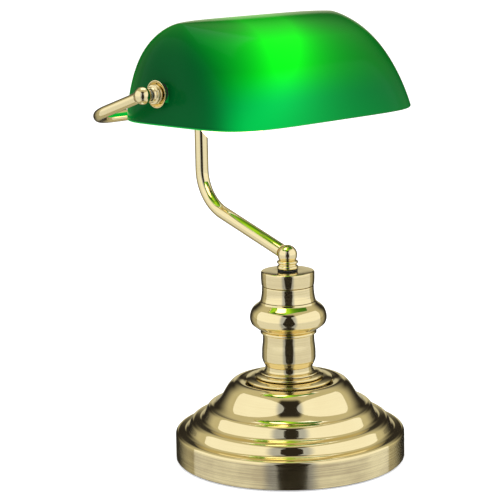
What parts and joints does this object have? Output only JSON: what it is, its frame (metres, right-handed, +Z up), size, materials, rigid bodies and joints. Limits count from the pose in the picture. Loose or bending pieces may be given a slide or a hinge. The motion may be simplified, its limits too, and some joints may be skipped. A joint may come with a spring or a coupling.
{
  "type": "banker desk lamp",
  "caption": "Desk lamp with a stepped round brass base, a turned column, a swivelling bent arm and a long green glass shade that tilts between the ball ends of a bow.",
  "frame": {"origin": "on the desk, under the middle of the round base", "axes": "+Z up; +X along the shade and the tilt axis; +Y to the rear, where the arm and the bow stand"},
  "size_m": [0.2666, 0.2016, 0.36],
  "materials": {
    "polished_brass": "polished, lacquered pale brass",
    "satin_brass": "brushed round, lacquered pale brass",
    "steel": "zinc-plated",
    "cast_iron": "as cast",
    "green_glass": "cased green outside, white inside, glossy",
    "opal_glass": "white, satin",
    "rubber": "matt black",
    "felt": "dark wool felt",
    "ceramic": "unglazed white",
    "wire": "ivory sheath"
  },
  "bodies": {
    "base": {"felt_pad": "felt", "bottom_plate": "steel", "base_weight": "cast_iron", "base_shell": "polished_brass", "cord_gland": "rubber", "terminal_block": "ceramic", "tie_tube": "steel", "weight_nut_lower": "steel", "weight_nut_upper": "steel", "shell_washer": "steel", "shell_nut": "steel", "foot_ring_wide": "polished_brass", "foot_ring_narrow": "polished_brass", "column_foot": "polished_brass", "lower_sleeve": "satin_brass", "flange_ring": "polished_brass", "column_bulge": "polished_brass", "upper_sleeve": "satin_brass", "column_cap": "satin_brass", "supply_wire": "wire", "swivel_washer": "rubber"},
    "arm": {"turned_neck": "polished_brass", "knuckle_ball": "polished_brass", "arm_tube": "polished_brass", "bow_tee": "polished_brass", "tee_screw": "steel", "bow_tube": "polished_brass", "bow_ball_left": "polished_brass", "bow_ball_right": "polished_brass", "pivot_stud_left": "steel", "pivot_stud_right": "steel", "ridged_collar_left": "polished_brass", "ridged_collar_right": "polished_brass", "spring_washer_left": "steel", "spring_washer_right": "steel", "stud_nut_left": "steel", "stud_nut_right": "steel", "arm_wire": "wire"},
    "shade": {"glass_shade": "green_glass", "pivot_cup_left": "polished_brass", "pivot_cup_right": "polished_brass", "outer_gasket_left": "rubber", "outer_gasket_right": "rubber", "inner_gasket_left": "rubber", "inner_gasket_right": "rubber", "shade_harp": "steel", "holder_bracket": "steel", "bracket_screw": "steel", "holder_shell": "satin_brass", "holder_cap": "satin_brass", "screw_contact": "polished_brass", "holder_insert": "ceramic", "centre_contact": "polished_brass", "holder_nipple": "steel", "nipple_nut": "steel", "holder_wire": "wire"},
    "bulb_tip": {"bulb_insulator": "rubber", "bulb_contact": "steel"},
    "bulb": {"bulb_glass": "opal_glass", "bulb_screw_cap": "polished_brass"}
  },
  "joints": [
    {"name": "arm_swivel", "type": "hinge", "parent": "base", "child": "arm", "pos_m": [0, 0, 0.1583], "axis": [0, 0, 1], "range_deg": [-165, 165]},
    {"name": "shade_tilt", "type": "hinge", "parent": "arm", "child": "shade", "pos_m": [0, 0.0275, 0.307], "axis": [1, 0, 0], "range_deg": [-40, 40]},
    {"name": "bulb_withdraw", "type": "slide", "parent": "shade", "child": "bulb_tip", "axis": [-1, 0, 0], "range_m": [0, 0.02]},
    {"name": "bulb_unscrew", "type": "hinge", "parent": "bulb_tip", "child": "bulb", "pos_m": [-0.0415, 0.018, 0.29], "axis": [-1, 0, 0], "range_deg": [0, 1980]}
  ],
  "couplings": [
    {"joint": "bulb_withdraw", "follows": "bulb_unscrew", "m_per_rad": 0.0005776}
  ]
}
